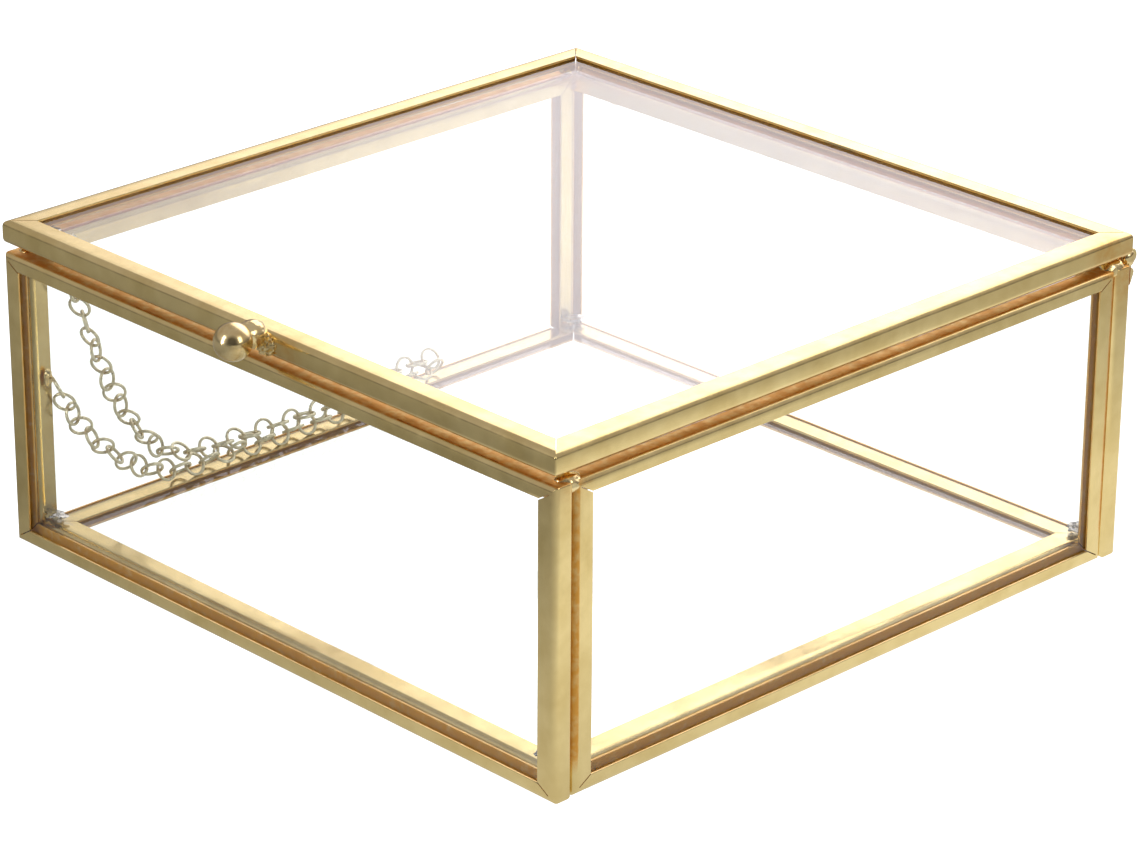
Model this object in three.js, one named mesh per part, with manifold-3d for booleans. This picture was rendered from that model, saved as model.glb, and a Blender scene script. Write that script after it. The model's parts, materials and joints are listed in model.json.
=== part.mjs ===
// Square glass jewelry box: six panes edged in folded brass channel, soldered
// into an open box with a hinged glass lid, a ball knob and a stay chain.
// Units are millimetres, +Z is up, the knob faces -Y and the hinge is at +Y.

import * as THREE from 'three';
import { mergeVertices } from 'three/addons/utils/BufferGeometryUtils.js';
import Module from 'manifold-3d';

const wasm = await Module();
wasm.setup();

// Overall sizes
const PLAN = 120;
const WALL_HEIGHT = 47.6;
const LID_GAP = 1.4;

// Brass channel: a strip of sheet folded to a U round the edge of a pane
const CHANNEL = 3.7;
const SHEET = 0.4;
const BEND = 1.0;
const CORNER = 1.2;
const OUTER_LIP = 2.4;
const INNER_LIP = 3.1;
const WIDE_LIP = 3.8;
const NOTCH = 0.16;
const NOTCH_STOP = 1.1;
const SEAM = 0.14;
const SEAM_FROM_CORNER = 4.6;
const SEAT = 0.05;

// Glass panes
const PANE_INSET = 1.05;
const PANE = CHANNEL - 2 * SHEET - 2 * SEAT;

// Hinge: a wire through two fixed end tubes and one long tube on the lid
const HINGE_OUT = 1.05;
const BARREL_R = 1.25;
const BORE_R = 0.68;
const WIRE_R = 0.6;
const END_TUBE = 14;
const TUBE_PLAY = 0.3;
const FILLET_INSET = 0.4;
const HINGE_Y = PLAN / 2 + HINGE_OUT;
const HINGE_Z = WALL_HEIGHT + LID_GAP / 2;

// Ball knob
const KNOB_R = 2.85;
const KNOB_REACH = 5.2;
const KNOB_RISE = 1.5;
const STEM_R = 1.0;

// Stay chain
const LINK_PITCH = 2.65;
const WALL_SPANS = [3, 3, 3, 3, 4, 17];
const LID_SPANS = [7, 5, 4, 3, 3, 3, 13];
const CORD_R = 0.6;
const SPAN_GAP = 0.7;
const ROOT_GAP = 2.2;

const LID_BASE = WALL_HEIGHT + LID_GAP;
const LID_MID = LID_BASE + CHANNEL / 2;
const WALL_MID = PLAN / 2 - CHANNEL / 2;
const INSIDE = PLAN / 2 - CHANNEL;

const FINISHES = {
  brass: { color: 0xb9a253, roughness: 0.34, metalness: 1 },
  polished: { color: 0xd2b65c, roughness: 0.1, metalness: 1 },
  solder: { color: 0xc4a95e, roughness: 0.3, metalness: 1 },
  bare_solder: { color: 0x8d9299, roughness: 0.45, metalness: 1 },
  glass: { color: 0xeef4f2, roughness: 0.03, metalness: 0 },
};

function mesh(name, finish, geometry) {
  const material = new THREE.MeshStandardMaterial(FINISHES[finish]);
  if (finish === 'glass') {
    material.transparent = true;
    material.opacity = 0.25;
  }
  const made = new THREE.Mesh(geometry, material);
  made.name = name;
  return made;
}

// Solids for cutting and joining

function toSolid(geometry) {
  const bare = geometry.index ? geometry.clone() : geometry;
  bare.deleteAttribute('normal');
  bare.deleteAttribute('uv');
  const merged = mergeVertices(bare, 1e-4);
  return new wasm.Manifold(new wasm.Mesh({
    numProp: 3,
    vertProperties: new Float32Array(merged.attributes.position.array),
    triVerts: new Uint32Array(merged.index.array),
  }));
}

function toGeometry(solid) {
  const shell = solid.getMesh();
  const geometry = new THREE.BufferGeometry();
  geometry.setAttribute('position', new THREE.BufferAttribute(shell.vertProperties, 3));
  geometry.setIndex(new THREE.BufferAttribute(shell.triVerts, 1));
  geometry.computeVertexNormals();
  return geometry;
}

function block(width, depth, height, x = 0, y = 0, z = 0, turn = 0) {
  const geometry = new THREE.BoxGeometry(width, depth, height);
  geometry.rotateZ(turn);
  geometry.translate(x, y, z);
  return toSolid(geometry);
}

function roundedOutline(width, height, radius) {
  const right = width / 2 - radius;
  const top = height / 2 - radius;
  const shape = new THREE.Shape();
  shape.absarc(right, top, radius, 0, Math.PI / 2);
  shape.absarc(-right, top, radius, Math.PI / 2, Math.PI);
  shape.absarc(-right, -top, radius, Math.PI, Math.PI * 1.5);
  shape.absarc(right, -top, radius, Math.PI * 1.5, Math.PI * 2);
  return shape;
}

// A flat slab, centred, with rounded corners in plan and rounded long edges.
function softSlab(width, height, thickness, corner, edge) {
  const outline = roundedOutline(width - 2 * edge, height - 2 * edge, corner - edge);
  const geometry = new THREE.ExtrudeGeometry(outline, {
    depth: thickness - 2 * edge,
    curveSegments: 3,
    bevelThickness: edge,
    bevelSize: edge,
    bevelSegments: 3,
  });
  geometry.translate(0, 0, edge - thickness / 2);
  return toSolid(geometry);
}

// Saw cuts across the corner of both lips, where the strip was notched to fold.
function cornerNotches(width, height, outerLip, innerLip) {
  const cuts = [];
  for (const [lip, side] of [[outerLip, 1], [innerLip, -1]]) {
    const reach = lip - NOTCH_STOP + 0.2;
    const middle = NOTCH_STOP + reach / 2;
    for (const sx of [-1, 1]) {
      for (const sy of [-1, 1]) {
        const x = sx * (width / 2 - middle);
        const y = sy * (height / 2 - middle);
        const turn = sx * sy * Math.PI / 4;
        const long = reach * Math.SQRT2;
        cuts.push(block(long, NOTCH, CHANNEL / 2, x, y, side * CHANNEL / 2, turn));
      }
    }
  }
  return cuts;
}

// One folded channel round a pane, in the pane's plane; +Z is the outside.
function channelGeometry(width, height, outerLip, innerLip) {
  const deep = CHANNEL;
  const openWidth = width - 2 * SHEET;
  const openHeight = height - 2 * SHEET;
  const openDepth = CHANNEL - 2 * SHEET;
  let solid = softSlab(width, height, CHANNEL, CORNER, BEND);
  solid = solid.subtract(block(width - 2 * outerLip, height - 2 * outerLip, deep, 0, 0, deep / 2));
  solid = solid.subtract(block(width - 2 * innerLip, height - 2 * innerLip, deep, 0, 0, -deep / 2));
  solid = solid.subtract(softSlab(openWidth, openHeight, openDepth, CORNER - SHEET, BEND - SHEET));
  for (const cut of cornerNotches(width, height, outerLip, innerLip)) {
    solid = solid.subtract(cut);
  }
  const seamX = SEAM_FROM_CORNER - width / 2;
  const webCut = block(SEAM, 2 * SHEET, CHANNEL - 2 * BEND, seamX, -height / 2, 0);
  return toGeometry(solid.subtract(webCut));
}

function paneGeometry(width, height) {
  return new THREE.BoxGeometry(width - 2 * PANE_INSET, height - 2 * PANE_INSET, PANE);
}

// A pane in its channel, built flat.
function framedPane(name, width, height, outerLip, innerLip) {
  const pair = new THREE.Group();
  pair.add(mesh(`${name}_channel`, 'brass', channelGeometry(width, height, outerLip, innerLip)));
  pair.add(mesh(`${name}_glass`, 'glass', paneGeometry(width, height)));
  return pair;
}

// Stand a flat framed pane up as a wall facing the given way round +Z.
function standWall(pair, turn) {
  pair.rotation.x = Math.PI / 2;
  pair.position.set(0, -WALL_MID, WALL_HEIGHT / 2);
  const turned = new THREE.Group();
  turned.add(pair);
  turned.rotation.z = turn;
  return turned;
}

function buildPanes() {
  const panes = new THREE.Group();
  const fitted = PLAN - 2 * CHANNEL - 2 * SEAT;
  const walls = [
    ['front', PLAN, 0],
    ['right', fitted, Math.PI / 2],
    ['back', PLAN, Math.PI],
    ['left', fitted, -Math.PI / 2],
  ];
  for (const [name, width, turn] of walls) {
    panes.add(standWall(framedPane(name, width, WALL_HEIGHT, OUTER_LIP, INNER_LIP), turn));
  }
  const bottom = framedPane('bottom', fitted, fitted, WIDE_LIP, WIDE_LIP);
  bottom.position.z = CHANNEL / 2;
  panes.add(bottom);
  const lid = framedPane('lid', PLAN, PLAN, WIDE_LIP, WIDE_LIP);
  lid.position.z = LID_MID;
  panes.add(lid);
  return panes;
}

// A low solder bead: half an ellipsoid standing on a flat base.
function beadGeometry(halfX, halfY, rise) {
  const profile = [new THREE.Vector2(0, 0)];
  const steps = 6;
  for (let i = 0; i <= steps; i += 1) {
    const angle = (i / steps) * Math.PI / 2;
    const radius = i === steps ? 0 : Math.cos(angle);
    profile.push(new THREE.Vector2(radius, Math.sin(angle)));
  }
  const geometry = new THREE.LatheGeometry(profile, 16);
  geometry.rotateX(Math.PI / 2);
  geometry.scale(halfX, halfY, rise);
  return geometry;
}

function buildSolderBeads() {
  const beads = new THREE.Group();
  const corners = [
    ['front_left', -1, -1],
    ['front_right', 1, -1],
    ['back_left', -1, 1],
    ['back_right', 1, 1],
  ];
  for (const [name, sx, sy] of corners) {
    const top = mesh(`top_solder_${name}`, 'solder', beadGeometry(1.7, 2.3, LID_GAP - SEAT));
    top.position.set(sx * (PLAN / 2 - 1.75), sy * (INSIDE + 0.6), WALL_HEIGHT + SEAT / 2);
    beads.add(top);
    const low = mesh(`base_solder_${name}`, 'bare_solder', beadGeometry(1.5, 1.5, 1.3));
    low.position.set(sx * (INSIDE - 1.6), sy * (INSIDE - 1.6), CHANNEL + SEAT / 2);
    beads.add(low);
  }
  return beads;
}

// Hinge

function tubeGeometry(from, to, outer, inner) {
  const ring = new THREE.Shape();
  ring.absarc(0, 0, outer, 0, Math.PI * 2);
  if (inner > 0) {
    const hole = new THREE.Path();
    hole.absarc(0, 0, inner, 0, Math.PI * 2, true);
    ring.holes.push(hole);
  }
  const geometry = new THREE.ExtrudeGeometry(ring, {
    depth: to - from,
    bevelEnabled: false,
    curveSegments: 24,
  });
  geometry.rotateY(Math.PI / 2);
  geometry.translate(from, HINGE_Y, HINGE_Z);
  return geometry;
}

// A solder fillet along X, from outline points given as (out from the back face, up from the axis).
function filletGeometry(from, to, points) {
  const outline = new THREE.Shape(points.map(([out, up]) => new THREE.Vector2(out, up)));
  const geometry = new THREE.ExtrudeGeometry(outline, { depth: to - from, bevelEnabled: false });
  geometry.rotateY(Math.PI / 2);
  geometry.rotateX(Math.PI / 2);
  geometry.translate(from, PLAN / 2 + SEAT, HINGE_Z);
  return geometry;
}

function buildHinge() {
  const hinge = new THREE.Group();
  const end = PLAN / 2;
  const inner = end - END_TUBE;
  const wireEnd = end - 0.2;
  hinge.add(mesh('hinge_wire', 'brass', tubeGeometry(-wireEnd, wireEnd, WIRE_R, 0)));
  const bodyFillet = [[0, -1.7], [0.55, -1.4], [0.95, -1.35], [1.2, -2.0], [0.75, -3.6], [0, -5.4]];
  for (const [side, from, to] of [['left', -end, -inner], ['right', inner, end]]) {
    hinge.add(mesh(`hinge_end_tube_${side}`, 'brass', tubeGeometry(from, to, BARREL_R, BORE_R)));
    const fillet = filletGeometry(from + FILLET_INSET, to - FILLET_INSET, bodyFillet);
    hinge.add(mesh(`hinge_end_solder_${side}`, 'solder', fillet));
  }
  const reach = inner - TUBE_PLAY;
  hinge.add(mesh('hinge_lid_tube', 'brass', tubeGeometry(-reach, reach, BARREL_R, BORE_R)));
  const lidFillet = [[0, 1.75], [0, 3.1], [0.45, 2.3], [1.15, 1.55], [0.5, 1.36]];
  const lidSolder = filletGeometry(FILLET_INSET - reach, reach - FILLET_INSET, lidFillet);
  hinge.add(mesh('hinge_lid_solder', 'solder', lidSolder));
  return hinge;
}

// Knob: a ball on a short stem, in a collar of solder on the lid's front edge.

function turnedAlongY(profile) {
  const points = profile.map(([radius, along]) => new THREE.Vector2(radius, along));
  return new THREE.LatheGeometry(points, 24);
}

function buildKnob() {
  const knob = new THREE.Group();
  const profile = [[0, -KNOB_R]];
  const steps = 14;
  const neckAngle = Math.asin(STEM_R / KNOB_R);
  for (let i = 1; i <= steps; i += 1) {
    const angle = -Math.PI / 2 + (i / steps) * (Math.PI - neckAngle);
    profile.push([KNOB_R * Math.cos(angle), KNOB_R * Math.sin(angle)]);
  }
  const stemEnd = KNOB_REACH - SEAT;
  profile.push([STEM_R, stemEnd], [0, stemEnd]);
  knob.add(mesh('knob_ball', 'polished', turnedAlongY(profile)));
  const bore = STEM_R + SEAT;
  const collar = [
    [bore, KNOB_R + SEAT],
    [1.45, KNOB_R + 0.15],
    [1.6, stemEnd - 1.1],
    [2.0, stemEnd - 0.4],
    [2.1, stemEnd],
    [bore, stemEnd],
    [bore, KNOB_R + SEAT],
  ];
  knob.add(mesh('knob_solder', 'solder', turnedAlongY(collar)));
  knob.position.set(0, -PLAN / 2 - KNOB_REACH, LID_MID + KNOB_RISE);
  return knob;
}

// Stay chain: two half chains that meet at a fold on the bottom ledge. The
// route's points are its hanging curve and the stretch that lies on the ledge.
// The spans are runs of links, short where the chain bends and long where it lies straight.

const WALL_ROUTE = [
  [-54.6, -54.4, 26.6],
  [-54.5, -52.4, 22.4],
  [-54.3, -49.0, 16.9],
  [-54.0, -44.6, 12.2],
  [-53.7, -39.2, 8.2],
  [-53.4, -33.4, 5.7],
  [-53.3, -27, 4.95],
  [-53.3, -12, 4.95],
  [-53.3, 6, 4.95],
  [-53.3, 26, 4.95],
];
const LID_ROUTE = [
  [-54.8, -53.2, 47.4],
  [-54.9, -51.4, 42],
  [-55.0, -49.6, 36.4],
  [-55.0, -47.5, 30.3],
  [-55.0, -45.0, 24.3],
  [-55.0, -42.0, 18.5],
  [-55.0, -38.4, 13.2],
  [-55.0, -33.6, 9.2],
  [-55.0, -27, 7.1],
  [-55.0, -18, 6.65],
  [-55.0, 4, 6.65],
  [-55.0, 28, 6.65],
];

function buildHalfChain(name, route, spans) {
  const half = new THREE.Group();
  const curve = new THREE.CatmullRomCurve3(route.map((point) => new THREE.Vector3(...point)));
  curve.arcLengthDivisions = 800;
  const total = curve.getLength();
  const section = new THREE.Shape();
  section.absarc(0, 0, CORD_R, 0, Math.PI * 2);
  let start = 0;
  spans.forEach((links, i) => {
    const end = start + links * LINK_PITCH;
    const pivot = curve.getPointAt(start / total);
    const first = start + (i === 0 ? ROOT_GAP : SPAN_GAP / 2);
    const last = end - SPAN_GAP / 2;
    const steps = Math.max(3, Math.round(links / 2));
    const points = [];
    for (let k = 0; k <= steps; k += 1) {
      const along = first + (k / steps) * (last - first);
      points.push(curve.getPointAt(along / total).sub(pivot));
    }
    const geometry = new THREE.ExtrudeGeometry(section, {
      steps,
      curveSegments: 4,
      bevelEnabled: false,
      extrudePath: new THREE.CatmullRomCurve3(points),
    });
    const span = new THREE.Group();
    span.position.copy(pivot);
    span.add(mesh(`${name}_${i + 1}`, 'brass', geometry));
    half.add(span);
    start = end;
  });
  return half;
}

function buildChain() {
  const chain = new THREE.Group();
  const wallBead = mesh('chain_anchor_wall', 'solder', beadGeometry(2.2, 1.1, 1.3));
  wallBead.rotation.y = Math.PI / 2;
  wallBead.position.set(-INSIDE + SEAT, WALL_ROUTE[0][1], WALL_ROUTE[0][2] + 0.6);
  chain.add(wallBead);
  const lidBead = mesh('chain_anchor_lid', 'bare_solder', beadGeometry(1.5, 1.6, 1.3));
  lidBead.rotation.x = Math.PI;
  lidBead.position.set(LID_ROUTE[0][0] - 1.2, LID_ROUTE[0][1] - 0.4, LID_BASE - SEAT);
  chain.add(lidBead);
  chain.add(buildHalfChain('chain_wall', WALL_ROUTE, WALL_SPANS));
  chain.add(buildHalfChain('chain_lid', LID_ROUTE, LID_SPANS));
  return chain;
}

// The whole box, with its origin at the middle of its overall plan, on the floor.

const box = new THREE.Group();
box.add(buildPanes());
box.add(buildSolderBeads());
box.add(buildHinge());
box.add(buildKnob());
box.add(buildChain());
const frontReach = PLAN / 2 + KNOB_REACH + KNOB_R;
const backReach = HINGE_Y + BARREL_R;
box.position.y = (frontReach - backReach) / 2;

export default box;
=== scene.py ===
"""Square glass jewelry box: six panes edged in folded brass, a hinged lid, a ball knob and a stay chain."""
import json
import logging
import math
import random
from collections.abc import Callable, Iterable, Sequence
from dataclasses import dataclass, field
from enum import Enum

import bmesh
import bpy
from mathutils import Matrix, Vector, noise


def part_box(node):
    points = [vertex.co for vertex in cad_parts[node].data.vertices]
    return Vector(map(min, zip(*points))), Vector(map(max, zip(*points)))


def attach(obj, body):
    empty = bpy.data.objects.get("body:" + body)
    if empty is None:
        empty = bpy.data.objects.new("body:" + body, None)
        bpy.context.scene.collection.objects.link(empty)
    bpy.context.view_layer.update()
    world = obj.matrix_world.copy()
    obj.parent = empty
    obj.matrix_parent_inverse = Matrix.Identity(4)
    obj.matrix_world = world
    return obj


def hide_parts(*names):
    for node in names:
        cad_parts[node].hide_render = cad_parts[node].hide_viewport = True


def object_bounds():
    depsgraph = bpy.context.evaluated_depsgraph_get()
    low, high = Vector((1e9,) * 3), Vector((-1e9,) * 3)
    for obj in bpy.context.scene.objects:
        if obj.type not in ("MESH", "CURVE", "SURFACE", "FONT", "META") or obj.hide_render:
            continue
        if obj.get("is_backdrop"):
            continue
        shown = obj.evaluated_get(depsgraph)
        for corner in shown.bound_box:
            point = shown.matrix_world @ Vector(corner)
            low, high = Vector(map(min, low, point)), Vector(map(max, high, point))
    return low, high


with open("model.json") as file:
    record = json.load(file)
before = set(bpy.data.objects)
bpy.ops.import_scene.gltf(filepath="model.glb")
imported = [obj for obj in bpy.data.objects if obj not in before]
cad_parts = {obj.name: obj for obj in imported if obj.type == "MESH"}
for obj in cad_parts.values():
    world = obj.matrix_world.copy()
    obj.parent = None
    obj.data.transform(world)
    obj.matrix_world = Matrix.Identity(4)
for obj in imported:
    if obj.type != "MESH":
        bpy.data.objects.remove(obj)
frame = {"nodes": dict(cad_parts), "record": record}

logging.basicConfig(level=logging.INFO, format="%(message)s")
log = logging.getLogger("jewelry_box")

MM = 0.001
Row = list[Vector]
Colour = tuple[float, float, float]
Spots = Sequence[tuple[Vector, float]]
Socket = bpy.types.NodeSocket


class Slot(Enum):
    """The record's material slots."""

    BRASS = "brass"
    POLISHED = "polished_brass"
    GOLD_SOLDER = "gold_solder"
    BARE_SOLDER = "bare_solder"
    CHAIN = "chain_brass"
    GLASS = "glass"


class Side(Enum):
    """A framed pane, by the way its outside face looks: (outward normal, up in its plane)."""

    FRONT = ((0, -1, 0), (0, 0, 1))
    RIGHT = ((1, 0, 0), (0, 0, 1))
    BACK = ((0, 1, 0), (0, 0, 1))
    LEFT = ((-1, 0, 0), (0, 0, 1))
    BOTTOM = ((0, 0, -1), (0, 1, 0))
    LID = ((0, 0, 1), (0, 1, 0))

    @property
    def label(self) -> str:
        """The pane's name in the frame."""
        return self.name.lower()


# ---------------------------------------------------------------- finishes


class NodeSheet:
    """Short calls for wiring up one material's nodes."""

    def __init__(self, name: str) -> None:
        """Start a material.

        Args:
            name: The material's name.
        """
        self.material = bpy.data.materials.new(name)
        self.material.use_nodes = True
        self.tree = self.material.node_tree
        self.tree.nodes.clear()
        self.output = self.add("ShaderNodeOutputMaterial")
        self.coords = self.add("ShaderNodeTexCoord").outputs["Object"]

    def add(self, kind: str, **settings: object) -> bpy.types.Node:
        """Add a node.

        Args:
            kind: Blender's name for the node.
            settings: Values for its sockets, with _ for a space; or its own properties.

        Returns:
            The new node.
        """
        node = self.tree.nodes.new(kind)
        for key, value in settings.items():
            socket = node.inputs.get(key.replace("_", " "))
            if socket is not None:
                socket.default_value = value
            else:
                setattr(node, key, value)
        return node

    def link(self, source: Socket, target: Socket) -> None:
        """Join two sockets."""
        self.tree.links.new(source, target)

    def speckle(self, size: float, detail: float = 3.0, stretch: Sequence[float] = (1, 1, 1)) -> Socket:
        """Noise at a real size.

        Args:
            size: The width of one blotch, in metres.
            detail: How much finer noise is laid over it.
            stretch: How much longer it is along each axis.

        Returns:
            The noise's value socket.
        """
        vector = self.coords
        if tuple(stretch) != (1, 1, 1):
            mapping = self.add("ShaderNodeMapping")
            mapping.inputs["Scale"].default_value = [1 / s for s in stretch]
            self.link(vector, mapping.inputs["Vector"])
            vector = mapping.outputs["Vector"]
        made = self.add("ShaderNodeTexNoise", Scale=1 / size, Detail=detail, Roughness=0.55)
        self.link(vector, made.inputs["Vector"])
        return made.outputs["Fac"]

    def ramp(self, source: Socket, stops: Sequence[tuple[float, Sequence[float]]]) -> Socket:
        """Turn a value into a colour.

        Args:
            source: The value.
            stops: Pairs of (place, colour).

        Returns:
            The colour socket.
        """
        node = self.add("ShaderNodeValToRGB")
        band = node.color_ramp
        while len(band.elements) < len(stops):
            band.elements.new(0.5)
        for element, (place, colour) in zip(band.elements, stops):
            element.position = place
            element.color = (*colour, 1)
        self.link(source, node.inputs["Fac"])
        return node.outputs["Color"]

    def span(self, source: Socket, low: float, high: float, to_low: float, to_high: float) -> Socket:
        """Map one range of a value on to another, clamped.

        Args:
            source: The value.
            low: Where its range starts.
            high: Where its range ends.
            to_low: What it is at the start.
            to_high: What it is at the end.

        Returns:
            The new value's socket.
        """
        node = self.add("ShaderNodeMapRange")
        for name, value in (("From Min", low), ("From Max", high), ("To Min", to_low), ("To Max", to_high)):
            node.inputs[name].default_value = value
        self.link(source, node.inputs["Value"])
        return node.outputs["Result"]

    def combine(self, kind: str, first: Socket, second: Socket) -> Socket:
        """Work one sum on two values, held between 0 and 1.

        Args:
            kind: Which sum.
            first: One value.
            second: The other.

        Returns:
            The result's socket.
        """
        node = self.add("ShaderNodeMath", operation=kind, use_clamp=True)
        self.link(first, node.inputs[0])
        self.link(second, node.inputs[1])
        return node.outputs["Value"]

    def mark(self, word: str) -> Socket:
        """The value that the mesh carries under a word."""
        return self.add("ShaderNodeAttribute", attribute_name=word).outputs["Fac"]

    def relief(self, layers: Sequence[tuple[Socket, float]], strength: float) -> Socket:
        """Stack bumps.

        Args:
            layers: Pairs of (height, depth in metres).
            strength: The strength of each.

        Returns:
            The normal socket.
        """
        normal = None
        for height, depth in layers:
            bump = self.add("ShaderNodeBump", Strength=strength, Distance=depth)
            self.link(height, bump.inputs["Height"])
            if normal is not None:
                self.link(normal, bump.inputs["Normal"])
            normal = bump.outputs["Normal"]
        return normal


@dataclass(frozen=True)
class MetalFinish:
    """A worked metal: tones, mottling, polish, fine grain and hammered or crumpled relief."""

    name: str
    pale: Colour
    deep: Colour
    polish: float
    dullest: float
    mottle: float = 7 * MM
    grain: float = 0.35 * MM
    grain_depth: float = 0.002 * MM
    crumple: float = 2.2 * MM
    crumple_depth: float = 0.02 * MM
    scratch: float = 0.11 * MM
    scratch_depth: float = 0.0011 * MM
    scratch_stretch: float = 14
    patchiness: float = 1.3 * MM
    # Colour of the scorch mark: real heat colour from the torch, and also painted shade along the lid gap and
    # where chain rings touch, and painted reflection in the brass's grooves and folds.
    scorch: Colour = (0.72, 0.36, 0.07)
    scorch_dullness: float = 0.4
    tarnish: Colour = (0.5, 0.47, 0.4)
    # Flux colour on the folded sheet's hidden side; it also stands in as painted reflection of the brass facing
    # it.
    flux: Colour | None = None
    flux_metallic: float = 0.25
    metallic: float = 1.0
    relief_strength: float = 0.6

    def material(self) -> bpy.types.Material:
        """Build the material.

        Returns:
            The new material.
        """
        sheet = NodeSheet(self.name)
        metal = sheet.add("ShaderNodeBsdfPrincipled", Metallic=self.metallic)
        # Under the stain mark the metal is less metallic and takes the flux colour, which is partly painted
        # reflection.
        if self.flux is not None:
            fold_metallic = sheet.span(sheet.mark("stain"), 0, 1, self.metallic, self.flux_metallic)
            sheet.link(fold_metallic, metal.inputs["Metallic"])
        sheet.link(self._tone(sheet), metal.inputs["Base Color"])
        sheet.link(self._roughness(sheet), metal.inputs["Roughness"])
        sheet.link(self._relief(sheet), metal.inputs["Normal"])
        sheet.link(metal.outputs["BSDF"], sheet.output.inputs["Surface"])
        return sheet.material

    def _tone(self, sheet: NodeSheet) -> Socket:
        """Mottle the metal between its tones, and lay over it in patches the scorch colour (heat colour with
        painted shade and painted reflection), the tarnish colour, and the flux colour (with painted reflection).

        Args:
            sheet: The material being wired.

        Returns:
            The colour socket.
        """
        tone = sheet.ramp(sheet.speckle(self.mottle, 4), [(0.32, self.deep), (0.62, self.pale)])
        # The scorch mark is heat colour mixed with painted shade and painted reflection; the stain mark is flux
        # colour mixed with painted reflection.
        marks = [("scorch", self.scorch), ("tarnish", self.tarnish)]
        if self.flux is not None:
            marks.append(("stain", self.flux))
        for word, colour in marks:
            uneven = sheet.span(sheet.speckle(self.patchiness, 4), 0.3, 0.6, 0.5, 1.3)
            blend = sheet.add("ShaderNodeMix", data_type="RGBA")
            sheet.link(sheet.combine("MULTIPLY", sheet.mark(word), uneven), blend.inputs["Factor"])
            sheet.link(tone, blend.inputs["A"])
            blend.inputs["B"].default_value = (*colour, 1)
            tone = blend.outputs["Result"]
        return tone

    def _roughness(self, sheet: NodeSheet) -> Socket:
        """Vary the polish in soft patches, duller under the scorch mark of heat colour, painted shade and painted
        reflection.

        Args:
            sheet: The material being wired.

        Returns:
            The roughness socket.
        """
        worn = sheet.span(sheet.speckle(2.4 * MM, 5), 0.35, 0.68, self.polish, self.dullest)
        mark_dullness = sheet.span(sheet.mark("scorch"), 0.4, 1.0, 0.0, self.scorch_dullness)
        return sheet.combine("ADD", worn, mark_dullness)

    def _relief(self, sheet: NodeSheet) -> Socket:
        """Stack the crumpling, the fine grain and hairline scratches along each axis.

        Args:
            sheet: The material being wired.

        Returns:
            The normal socket.
        """
        layers = [(sheet.speckle(self.crumple, 3), self.crumple_depth),
                  (sheet.speckle(self.grain, 2), self.grain_depth)]
        long = self.scratch_stretch
        for stretch in ((long, 1, 1), (1, long, 1), (1, 1, long)):
            hairline = sheet.span(sheet.speckle(self.scratch, 1, stretch), 0.62, 0.7, 1, 0)
            layers.append((hairline, self.scratch_depth))
        return sheet.relief(layers, self.relief_strength)


@dataclass(frozen=True)
class GlassFinish:
    """Clear float glass with the faint smears of a wiped pane."""

    name: str
    tint: Colour = (0.975, 0.99, 0.982)
    smear: float = 0.025
    smear_size: float = 22 * MM

    def material(self) -> bpy.types.Material:
        """Build the material.

        Returns:
            The new material.
        """
        sheet = NodeSheet(self.name)
        glass = sheet.add("ShaderNodeBsdfPrincipled", IOR=1.5, Transmission_Weight=1.0)
        cloud = sheet.speckle(self.smear_size, 3, (1, 1, 3))
        tint = tuple(0.99 * t for t in self.tint)
        sheet.link(sheet.ramp(cloud, [(0.3, tint), (0.7, self.tint)]), glass.inputs["Base Color"])
        sheet.link(sheet.span(cloud, 0.52, 0.75, 0.0, self.smear), glass.inputs["Roughness"])
        sheet.link(glass.outputs["BSDF"], sheet.output.inputs["Surface"])
        return sheet.material


FINISHES: dict[Slot, MetalFinish | GlassFinish] = {
    Slot.BRASS: MetalFinish("satin_brass", (0.87, 0.69, 0.32), (0.76, 0.58, 0.24), 0.14, 0.27,
                            flux=(0.8, 0.4, 0.07)),
    Slot.POLISHED: MetalFinish("ball_brass", (0.88, 0.7, 0.36), (0.76, 0.56, 0.24), 0.15, 0.27, 2 * MM,
                               grain_depth=0.006 * MM, crumple_depth=0.012 * MM),
    Slot.GOLD_SOLDER: MetalFinish("gold_solder", (0.93, 0.76, 0.4), (0.8, 0.58, 0.24), 0.14, 0.3, 2 * MM,
                                  crumple=1.1 * MM, crumple_depth=0.07 * MM),
    Slot.BARE_SOLDER: MetalFinish("bare_solder", (0.66, 0.62, 0.52), (0.4, 0.41, 0.43), 0.22, 0.45, 0.7 * MM,
                                  crumple=0.8 * MM, crumple_depth=0.09 * MM),
    # The chain's scorch colour is painted contact shade, laid where the rings touch.
    Slot.CHAIN: MetalFinish("chain_brass", (0.98, 0.91, 0.64), (0.88, 0.8, 0.54), 0.24, 0.4, 1.6 * MM,
                            crumple=0.7 * MM, crumple_depth=0.012 * MM, scorch=(0.66, 0.45, 0.17),
                            metallic=0.6),
    Slot.GLASS: GlassFinish("clear_glass"),
}


class Palette:
    """Makes each finish once and hands it out."""

    _made: dict[Slot, bpy.types.Material] = {}

    @classmethod
    def get(cls, name: Slot) -> bpy.types.Material:
        """The material of a slot, made on first use.

        Args:
            name: The slot.

        Returns:
            Its material.
        """
        if name not in cls._made:
            cls._made[name] = FINISHES[name].material()
        return cls._made[name]


# ---------------------------------------------------------------- mesh work


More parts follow.
